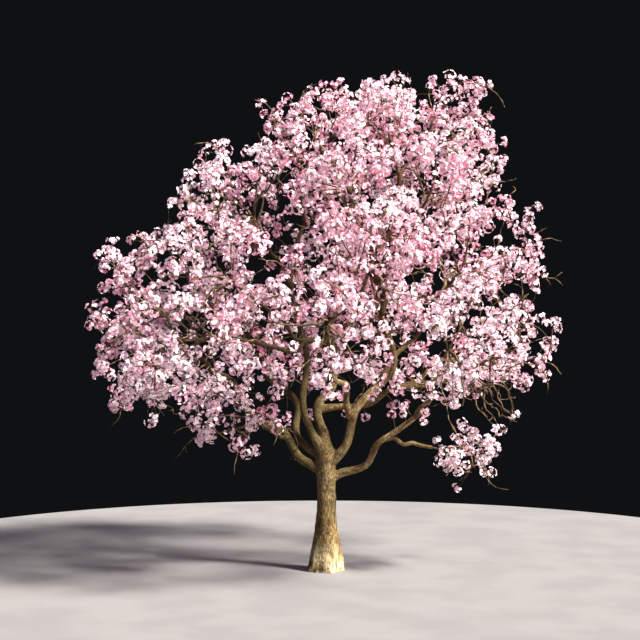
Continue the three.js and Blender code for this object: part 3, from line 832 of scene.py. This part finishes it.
def stem_coordinates(points, lines):
    """For each point, its nearest line: how far along it lies, and its offset square to it turned
    into that line's own frame, so that a pattern can run along each limb. points and lines are in
    millimetres."""
    best = np.full(len(points), np.inf)
    result = np.zeros((len(points), 3))
    for k, (line, radii) in enumerate(lines):
        along = unit(line[-1] - line[0])
        side = unit(np.cross(along, PATTERN_WAY))
        other = np.cross(along, side)
        steps = np.linalg.norm(np.diff(line, axis=0), axis=1)
        reached = np.concatenate(([0], np.cumsum(steps)))
        for i in range(len(line) - 1):
            v = line[i + 1] - line[i]
            t = np.clip((points - line[i]) @ v / (v @ v), 0, 1)
            offset = points - line[i] - t[:, None] * v
            gap = np.linalg.norm(offset, axis=1) / (radii[i] + t * (radii[i + 1] - radii[i]))
            better = gap < best
            best[better] = gap[better]
            found = np.stack((offset @ side, offset @ other,
                              reached[i] + t * steps[i] + PATTERN_GAP * k), axis=1)
            result[better] = found[better]
    return result


def bark_relief(coordinates, thickness):
    """Height of the bark in millimetres, and how deep in a fissure each point lies, from 0 to 1.
    A fissure runs where ridged noise, one less its own size, is near its top. The noise is drawn
    out along the limb. Broad noise adds lumps, and thickness scales it all."""
    scale = np.array((FISSURE_WIDTH, FISSURE_WIDTH, FISSURE_LENGTH))
    lumps = coordinates / LUMP_SIZE
    bend = lattice_noise(lumps, 3)[:, None] * (FISSURE_BEND, FISSURE_BEND, 0)
    first = 1 - np.abs(lattice_noise(coordinates / scale + bend, 5))
    second = 1 - np.abs(lattice_noise(coordinates / scale * FISSURE_FINER + bend, 8))
    ridge = FISSURE_SHARES[0] * first + FISSURE_SHARES[1] * second
    groove = np.clip((ridge - FISSURE_EDGE) / (1 - FISSURE_EDGE), 0, 1) ** FISSURE_STEEP
    lump = lattice_noise(lumps, 11) + LUMP_FINE_SHARE * lattice_noise(lumps * LUMP_FINER, 12)
    return thickness * (LUMP_HEIGHT * lump - FISSURE_DEPTH * groove), groove


def raise_bark(data, lines, thickness):
    """Moves each corner along its normal by the bark's height, and keeps the fissures' depth as
    the attribute fissure. thickness gives the relief's scale at each place."""
    place, normal = np.empty((2, 3 * len(data.vertices)), np.float32)
    data.vertices.foreach_get("co", place)
    data.vertices.foreach_get("normal", normal)
    place, normal = place.reshape(-1, 3).astype(float), normal.reshape(-1, 3).astype(float)
    height, groove = bark_relief(stem_coordinates(place / MM, lines), thickness(place))
    held = np.clip(place[:, 2] / RELIEF_START, 0, 1)
    moved = place + normal * (height * held * MM)[:, None]
    moved[:, 2] = np.maximum(moved[:, 2], 0)
    data.vertices.foreach_set("co", moved.astype(np.float32).ravel())
    depth = data.attributes.new("fissure", "FLOAT", "POINT")
    depth.data.foreach_set("value", groove.astype(np.float32))
    data.update()


def main_bark():
    """Trunk and boughs in one skin. Every second point of a line is enough to lay its bark by."""
    z = np.linspace(0, TRUNK["top"], AXIS_STEPS)
    lines = [(trunk_axis(z), trunk_radius(z))]
    surfaces = [trunk_surface()]
    for name in BOUGHS:
        line, radii = fine_limb(name, BARK_STEPS)
        lines.append((line[::2], radii[::2]))
        surfaces.append(tubes(line[None], radii[None], BARK_SIDES))
    data = fused(surfaces)
    cut_at_ground(data)
    raise_bark(data, lines,
               lambda place: np.clip(RELIEF[0] - RELIEF[1] * place[:, 2], *RELIEF_BOUNDS))
    data.shade_smooth()
    data.name = "bark_of_trunk_and_boughs"
    return link_object(data.name, data)


def limb_bark():
    """The limbs on the boughs, each a closed tube that starts inside its bough."""
    lines = [fine_limb(name, LIMB_RINGS - 1) for name in BRANCHES]
    paths, radii = [np.array(column) for column in zip(*lines)]
    piece = make_piece("bark_of_limbs", *tubes(paths, radii, LIMB_SIDES), True)
    coarse = [(line[::3], radius[::3]) for line, radius in lines]
    raise_bark(piece.data, coarse, lambda place: LIMB_RELIEF)
    return piece


# Twigs

TWIG_SWAY = 0.09
TWIG_TAPER = 1.3  # most that a stretch starts thicker than it ends
TWIG_THICKER = 1.35  # twigs over the source's slim ones, so that they read at a distance


def twig_paths(tree, rings, random):
    """The curved stretches of a tree of twigs. A stretch is a Bezier curve that leaves its parent
    half along it, arrives straight, and sways to one side as the sine of half a turn."""
    places, parents, radii = tree["places"], tree["parents"], tree["radii"]
    child = np.arange(1, len(places))
    start, end = places[parents[child]], places[child]
    step = end - start
    length = np.linalg.norm(step, axis=1, keepdims=True)
    way = step / length
    before = np.concatenate((way[:1], way))[parents[child]]
    leaves = unit(before + way)
    t = np.linspace(0, 1, rings)[None, :, None]
    curve = bezier(start[:, None], (start + leaves * length / 3)[:, None],
                   (end - way * length / 3)[:, None], end[:, None], t)
    aside = np.cross(way, unit(random.normal(size=way.shape)))
    curve = curve + (aside * length * TWIG_SWAY)[:, None] * np.sin(math.pi * t)
    thick = np.minimum(radii[parents[child]], TWIG_TAPER * radii[child])
    share = np.linspace(0, 1, rings)[None]
    return curve, thick[:, None] * (1 - share) + radii[child][:, None] * share


def make_twigs(name, trees, rings, sides, thicker, seed):
    """One piece of all the twigs of many trees."""
    random = np.random.default_rng(seed)
    paths, radii = joined(twig_paths(tree, rings, random) for tree in trees)
    return make_piece(name, *tubes(paths, thicker * radii, sides), True)


# Flowers

# A petal's outline: out from the flower's middle, across, and up along its axis, in flower radii.
PETAL = np.array((
    (0.08, 0.00, 0.00),
    (0.60, -0.42, 0.20),
    (1.00, -0.22, 0.16),
    (1.00, 0.22, 0.16),
    (0.60, 0.42, 0.20),
))
PETAL_TRIANGLES = np.array(((0, 1, 2), (0, 2, 3), (0, 3, 4)))
PETALS = 5
PETAL_STRAY = 0.07  # how far a petal strays round its flower, in petals
RUFFLE = 0.13
# A flower is 54 to 76 mm across. Real ones are 50 to 60 mm, of which the crown would need more
# than the model has room for.
FLOWER_RADIUS = (27, 38)
FLOWER_REACH = (0.85, 1.15)  # of its pompom's radius
FLOWER_SEED = 43
STALK_WIDTH = 5
# The flowers of a pompom stand in a wreath round the end of its twiglet: degrees from its axis,
# and turns round it.
POMPOM_FLOWERS = np.array((
    (84, 0.0), (74, 0.11), (92, 0.22), (78, 0.33), (88, 0.44), (72, 0.56), (90, 0.67), (80, 0.78),
    (86, 0.89), (118, 0.35), (112, 0.8),
))
POLAR_STRAY = 12  # how far a flower strays from its degrees
TURN_STRAY = 0.035  # and from its turns
FACE_AXIS = 0.5  # how far a flower turns from its own way out towards the pompom's axis
FACE_STRAY = 0.22
POMPOM_OUT = 0.6  # how far a pompom turns the way its spray looks
POMPOM_LIFT = 0.2
TINT_MEAN = 0.9  # the middle of the sprays' tints, from 0 for white to 4 for deep
TINT_OF_SPRAY = 2.0  # how far apart the palest and the deepest spray are
TINT_SPREAD = 1.15  # how far a flower's tint strays from its spray's
INNER_SHADE_TINT = 2.0  # how much deeper the middle of the head is than its edge, as painted shade of the crown's inside
INNER_REACH = 4600  # from the middle of the head to that edge
INNER_MEAN = 0.27  # the average share of the way in, which leaves the mean tint as it is
# The tints, from white to deep: two near colours, the glow of light from behind, and the slot.
TINTS = {
    "white": ("#fffcfc", "#fff5f7", "#f6bdd1", "blossom_white"),
    "pale": ("#fff0f4", "#ffe4ec", "#f2adc6", "blossom_pale"),
    "pink": ("#ffdce5", "#fccbd8", "#ec9bb9", "blossom"),
    "rose": ("#fbc3d1", "#f4aec1", "#e088a9", "blossom"),
    "deep": ("#f0a3b9", "#e28ba7", "#cc7095", "blossom_rose"),
}


def square_to(axis):
    """Two unit vectors square to each axis and to each other."""
    side = unit(np.cross(off_axis(axis), axis))
    return side, np.cross(axis, side)


def all_pompoms():
    """The middle and axis of every pompom, and its spray's draw for the tint. A pompom looks along
    its twiglet, a little outwards and a little up."""
    pompoms = []
    for spray in sprays:
        places, parents = spray["tree"]["places"], spray["tree"]["parents"][2:]
        way = unit(places[2:] - places[parents])
        axis = unit(way + POMPOM_OUT * spray["facing"] + POMPOM_LIFT * UP)
        pompoms.append((places[2:], axis, np.full(len(parents), spray["tint"])))
    return joined(pompoms)


def place_flowers(random):
    """Every flower's middle, facing, tint number and stalk's foot. Flowers stand on their pompom's
    ball at POMPOM_FLOWERS, each a little off. A tint is the spray's, deeper towards the middle of
    the head as painted shade of the crown's inside, plus a draw."""
    middle, axis, tint = all_pompoms()
    side, other = square_to(axis)
    count, each = len(middle), len(POMPOM_FLOWERS)
    polar = np.radians(POMPOM_FLOWERS[:, 0] + random.normal(0, POLAR_STRAY, (count, each)))
    turn = 2 * math.pi * (POMPOM_FLOWERS[:, 1] + random.random((count, 1))
                          + random.normal(0, TURN_STRAY, (count, each)))
    out = (np.cos(polar)[..., None] * axis[:, None]
           + np.sin(polar)[..., None] * (np.cos(turn)[..., None] * side[:, None]
                                         + np.sin(turn)[..., None] * other[:, None]))
    size = random.uniform(*POMPOM_RADIUS, (count, 1, 1))
    reach = size * random.uniform(*FLOWER_REACH, (count, each, 1))
    centre = middle[:, None] + reach * out
    facing = unit(out + FACE_AXIS * axis[:, None] + random.normal(0, FACE_STRAY, out.shape))
    inner = np.clip(1 - np.linalg.norm(middle - HEART, axis=1) / INNER_REACH, 0, 1)
    base = TINT_MEAN + TINT_OF_SPRAY * (tint - 0.5) + INNER_SHADE_TINT * (inner - INNER_MEAN)
    number = np.rint(base[:, None] + random.normal(0, TINT_SPREAD, (count, each)))
    number = np.clip(number, 0, len(TINTS) - 1).ravel().astype(int)
    root = np.broadcast_to(middle[:, None], centre.shape)
    return centre.reshape(-1, 3), facing.reshape(-1, 3), number, root.reshape(-1, 3)


def flower_surface(centre, facing, random):
    """Five petals round each middle. Petal k is the petal's outline turned k fifths of a turn: the
    middle plus the radius times (out by r, across by s, along the facing by h), where each corner's
    h is ruffled at random."""
    count = len(centre)
    side, other = square_to(facing)
    first = random.random((count, 1))
    turn = first + (np.arange(PETALS) + random.normal(0, PETAL_STRAY, (count, PETALS))) / PETALS
    cos, sin = np.cos(2 * math.pi * turn)[..., None], np.sin(2 * math.pi * turn)[..., None]
    out = cos * side[:, None] + sin * other[:, None]
    across = cos * other[:, None] - sin * side[:, None]
    radius = random.uniform(*FLOWER_RADIUS, (count, 1, 1, 1))
    height = PETAL[:, 2] + random.normal(0, RUFFLE, (count, PETALS, len(PETAL)))
    height[:, :, 0] = 0
    corners = centre[:, None, None] + radius * (
        PETAL[:, 0, None] * out[:, :, None] + PETAL[:, 1, None] * across[:, :, None]
        + height[..., None] * facing[:, None, None])
    offset = np.arange(count * PETALS)[:, None, None] * len(PETAL)
    return corners.reshape(-1, 3), (PETAL_TRIANGLES[None] + offset).reshape(-1, 3)


def make_flowers():
    """One piece of flowers for each tint, and one piece of all the stalks."""
    random = np.random.default_rng(FLOWER_SEED)
    centre, facing, number, root = place_flowers(random)
    made = {}
    for i, tint in enumerate(TINTS):
        chosen = number == i
        petals = flower_surface(centre[chosen], facing[chosen], random)
        made[tint] = make_piece(f"petals_{tint}", *petals, False)
    return made, make_stalks(centre, root)


def make_stalks(centre, root):
    """A thin blade from each twiglet's end to each flower: its foot as wide as the stalk, and its
    head a point."""
    side, _ = square_to(unit(centre - root))
    half = STALK_WIDTH / 2 * side
    corners = np.stack((root - half, root + half, centre), axis=1)
    triangles = np.arange(3 * len(centre)).reshape(-1, 3)
    return make_piece("flower_stalks", corners.reshape(-1, 3), triangles, False)


# Materials

THROUGH_SHARE = 0.26  # of the light that a petal scatters, what has come through it


def linear(hex_colour):
    """An sRGB hex colour as linear red, green, blue and an alpha of 1."""
    parts = [int(hex_colour[i:i + 2], 16) / 255 for i in (1, 3, 5)]
    return (*(c / 12.92 if c <= 0.04045 else ((c + 0.055) / 1.055) ** 2.4 for c in parts), 1.0)


def add_node(tree, kind, inputs=None, stops=(), **settings):
    """Adds a node: settings are its properties, inputs its sockets' values or what feeds them, and
    stops the places and hex colours along its colour ramp, if it has one."""
    made = tree.nodes.new(kind)
    for key, value in settings.items():
        setattr(made, key, value)
    for key, value in (inputs or {}).items():
        if isinstance(value, bpy.types.NodeSocket):
            tree.links.new(value, made.inputs[key])
        else:
            made.inputs[key].default_value = value
    if stops:
        elements = made.color_ramp.elements
        for place, colour in stops:
            elements.new(place).color = linear(colour)
        # A new ramp has a stop at each end.
        elements.remove(elements[-1])
        elements.remove(elements[0])
    return made


def new_material(name):
    """An empty material and its node tree."""
    made = bpy.data.materials.new(name)
    made.use_nodes = True
    made.node_tree.nodes.clear()
    return made, made.node_tree


def cherry_bark():
    """Bark of an old cherry stem: sandy plates with dark and cream flakes on them, tan where they
    weather, and cream in patches near the ground; fissures run up the stem, dark brown partly in
    their own colour and partly as painted shade in the grooves. Painted shade makes the bark
    grey-olive left of the trunk's middle and darker high up among the limbs. Rough and without gloss."""
    material, tree = new_material("cherry_bark")
    place = add_node(tree, "ShaderNodeTexCoord").outputs["Object"]
    fissure = add_node(tree, "ShaderNodeAttribute", attribute_name="fissure").outputs["Fac"]
    axes = add_node(tree, "ShaderNodeSeparateXYZ", {"Vector": place}).outputs
    drawn_out = add_node(tree, "ShaderNodeMapping", {"Vector": place, "Scale": (1.0, 1.0, 0.45)})
    upright = drawn_out.outputs["Vector"]
    # Plates are about 300 mm across, streaks 110 mm by 250 mm, and flakes 25 mm by 55 mm: real
    # ones are half as large, but would not show from where the whole tree is seen.
    patterns = []
    for where, scale, detail, roughness, stops in (
            (place, 3.4, 4.0, 0.5, ((0.3, "#8e8a72"), (0.5, "#b5a682"), (0.7, "#dccfae"))),
            (upright, 9.0, 3.0, 0.5, ((0.34, "#c08c5a"), (0.46, "#ecd9b8"), (0.62, "#ffffff"))),
            (upright, 40.0, 6.0, 0.75, ((0.4, "#4c4130"), (0.5, "#c2b28c"), (0.6, "#fffbec")))):
        noise = add_node(tree, "ShaderNodeTexNoise", {"Vector": where, "Scale": scale,
                                                      "Detail": detail, "Roughness": roughness})
        value = noise.outputs["Fac"]
        ramp = add_node(tree, "ShaderNodeValToRGB", {"Fac": value}, stops)
        patterns.append((value, ramp.outputs["Color"]))
    (_, colour), (streaks, streaked), (flakes, flaked) = patterns
    # Painted shade: the bark turns grey-olive left of the trunk's middle, the side away from the key
    # light, and grows darker from 2.6 m to 4.6 m up, where the blossom shades the limbs. Limbs are also
    # younger and smoother the higher they stand. Near the ground the streaks decide where the cream
    # bark shows.
    painted_left_shade, painted_crown_shade, low, flaking = [
        add_node(tree, "ShaderNodeMapRange", {"Value": value, "From Min": none, "From Max": full,
                                              "To Max": most}).outputs["Result"]
        for value, none, full, most in ((axes["X"], 0.04, -0.16, 1.0), (axes["Z"], 2.6, 4.6, 1.0),
                                        (axes["Z"], 0.5, 0.12, 1.0), (streaks, 0.42, 0.54, 0.75))]
    patches = add_node(tree, "ShaderNodeMath", {0: low, 1: flaking}, operation="MULTIPLY")
    # The coats over the plates: streaks and flakes; grey-olive painted shade on the left; painted shade
    # of the blossom, darker, high among the limbs; the cream patches; and the fissures' dark brown,
    # partly their own colour and partly painted shade in the grooves.
    for how, share, coat in (
            ("MULTIPLY", 0.8, streaked), ("MULTIPLY", 0.9, flaked),
            ("MULTIPLY", painted_left_shade, linear("#a3a894")), ("MULTIPLY", painted_crown_shade, linear("#96866a")),
            ("MIX", patches.outputs["Value"], linear("#efdcae")), ("MIX", fissure, linear("#4a3d2b"))):
        # A colour mix has its share as input 0, and its two colours as inputs 6 and 7.
        mixed = add_node(tree, "ShaderNodeMix", {0: share, 6: colour, 7: coat}, data_type="RGBA",
                         blend_type=how)
        colour = mixed.outputs[2]
    bump = add_node(tree, "ShaderNodeBump", {"Height": flakes, "Strength": 0.8, "Distance": 0.02})
    shader = add_node(tree, "ShaderNodeBsdfPrincipled", {
        "Base Color": colour, "Roughness": 0.9, "Specular IOR Level": 0.25,
        "Normal": bump.outputs["Normal"]})
    add_node(tree, "ShaderNodeOutputMaterial", {"Surface": shader.outputs["BSDF"]})
    return material


def mottled(name, scale, stops, finish, detail=2.0, through=None):
    """A material whose colour wanders through stops by noise. finish holds its shader's values, and
    through is the colour that light from behind takes in a thin one."""
    material, tree = new_material(name)
    place = add_node(tree, "ShaderNodeTexCoord").outputs["Object"]
    noise = add_node(tree, "ShaderNodeTexNoise", {"Vector": place, "Scale": scale, "Detail": detail})
    ramp = add_node(tree, "ShaderNodeValToRGB", {"Fac": noise.outputs["Fac"]}, stops)
    shader = add_node(tree, "ShaderNodeBsdfPrincipled", {"Base Color": ramp.outputs["Color"], **finish})
    surface = shader.outputs["BSDF"]
    if through:
        behind = add_node(tree, "ShaderNodeBsdfTranslucent", {"Color": linear(through)})
        mixed = add_node(tree, "ShaderNodeMixShader", {"Fac": THROUGH_SHARE, 1: surface,
                                                       2: behind.outputs["BSDF"]})
        surface = mixed.outputs["Shader"]
    add_node(tree, "ShaderNodeOutputMaterial", {"Surface": surface})
    return material


def twig_bark():
    """Bark of new-grown cherry wood: smooth, thin and dark brown, with a sandy bloom in patches."""
    return mottled("twig_bark", 9.0, ((0.34, "#2b2016"), (0.5, "#53412b"), (0.66, "#846b47")),
                   {"Roughness": 0.7, "Specular IOR Level": 0.35}, detail=3.0)


def petal(name, colour, shaded, through):
    """A cherry petal: thin, soft and matt, so that light from behind glows through it in a deeper
    pink. The tint wanders between two near colours over about 250 mm, as from spray to spray."""
    return mottled(name, 4.0, ((0.35, shaded), (0.65, colour)),
                   {"Roughness": 0.6, "Specular IOR Level": 0.2}, through=through)


def stalk_skin():
    """The stalk of a cherry flower: green, flushed with red, with a slight gloss."""
    return mottled("stalk_skin", 14.0, ((0.4, "#7d3b3a"), (0.65, "#7f8a4c")), {"Roughness": 0.5})


def painted_floor():
    """A matt grey studio floor, painted, with the faintest clouds."""
    return mottled("painted_floor", 0.8, ((0.4, "#7a7877"), (0.6, "#807e7c")),
                   {"Roughness": 0.95, "Specular IOR Level": 0.05})


# Stage

FLOOR_RADIUS = 10000
FLOOR_SIDES = 128
FLOOR_LEVEL = -2
KEY_STRENGTH = 14.2
KEY_ANGLE = math.radians(11)
KEY_TURN = (math.radians(45), 0.0, math.radians(60))
KEY_COLOUR = (1.0, 0.965, 0.91)
WORLD_COLOUR = "#cfbaf0"
WORLD_LIGHT = 0.27
WORLD_SHOWN = "#101113"


def make_floor():
    """A round level plate just under the tree: a fan of triangles from its middle to a circle."""
    angle = even_angles(FLOOR_SIDES)
    rim = np.stack((FLOOR_RADIUS * np.cos(angle), FLOOR_RADIUS * np.sin(angle), 0 * angle), axis=1)
    corners = np.concatenate((np.zeros((1, 3)), rim)) + (0, 0, FLOOR_LEVEL)
    j = np.arange(FLOOR_SIDES)
    triangles = np.stack((0 * j, 1 + j, 1 + (j + 1) % FLOOR_SIDES), axis=1)
    floor = make_piece("floor", corners, triangles, False)
    floor.data.materials.append(painted_floor())


def make_light():
    """A soft key from the right, the front and above, and an even sky that fills the shade."""
    data = bpy.data.lights.new("key", "SUN")
    data.energy = KEY_STRENGTH
    data.angle = KEY_ANGLE
    data.color = KEY_COLOUR
    link_object("key", data).rotation_euler = KEY_TURN
    world = bpy.data.worlds.new("studio")
    world.use_nodes = True
    tree = world.node_tree
    tree.nodes.clear()
    fill, shown = [
        add_node(tree, "ShaderNodeBackground", {"Color": linear(colour), "Strength": strength})
        for colour, strength in ((WORLD_COLOUR, WORLD_LIGHT), (WORLD_SHOWN, 1.0))]
    seen = add_node(tree, "ShaderNodeLightPath").outputs["Is Camera Ray"]
    either = add_node(tree, "ShaderNodeMixShader", {"Fac": seen, 1: fill.outputs["Background"],
                                                    2: shown.outputs["Background"]})
    add_node(tree, "ShaderNodeOutputWorld", {"Surface": either.outputs["Shader"]})
    bpy.context.scene.world = world


make_floor()
make_light()
bpy.context.scene.view_settings.view_transform = "Standard"

# Pieces

MASS_NODES = [mass["name"] for mass in masses]


def finish_piece(piece, material, nodes):
    """Gives a piece its material and its body, and hides the solids that it stands for."""
    piece.data.materials.append(material)
    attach(piece, "root")
    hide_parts(*nodes)


bark = cherry_bark()
young_bark = twig_bark()
finish_piece(main_bark(), bark, ["trunk", *BOUGHS])
finish_piece(limb_bark(), bark, list(BRANCHES))
for name, trees, rings, sides, thicker, seed in (
        ("twigs", twig_trees, 8, 6, TWIG_THICKER, 41),
        ("twiglets", [spray["tree"] for spray in sprays] + bare_shoots, 3, 3, 1, 42)):
    finish_piece(make_twigs(name, trees, rings, sides, thicker, seed), young_bark,
                 MASS_NODES)
petals, stalks = make_flowers()
for tint, piece in petals.items():
    *colours, slot = TINTS[tint]
    finish_piece(piece, petal(f"petal_{tint}", *colours), MASS_NODES)
finish_piece(stalks, stalk_skin(), MASS_NODES)
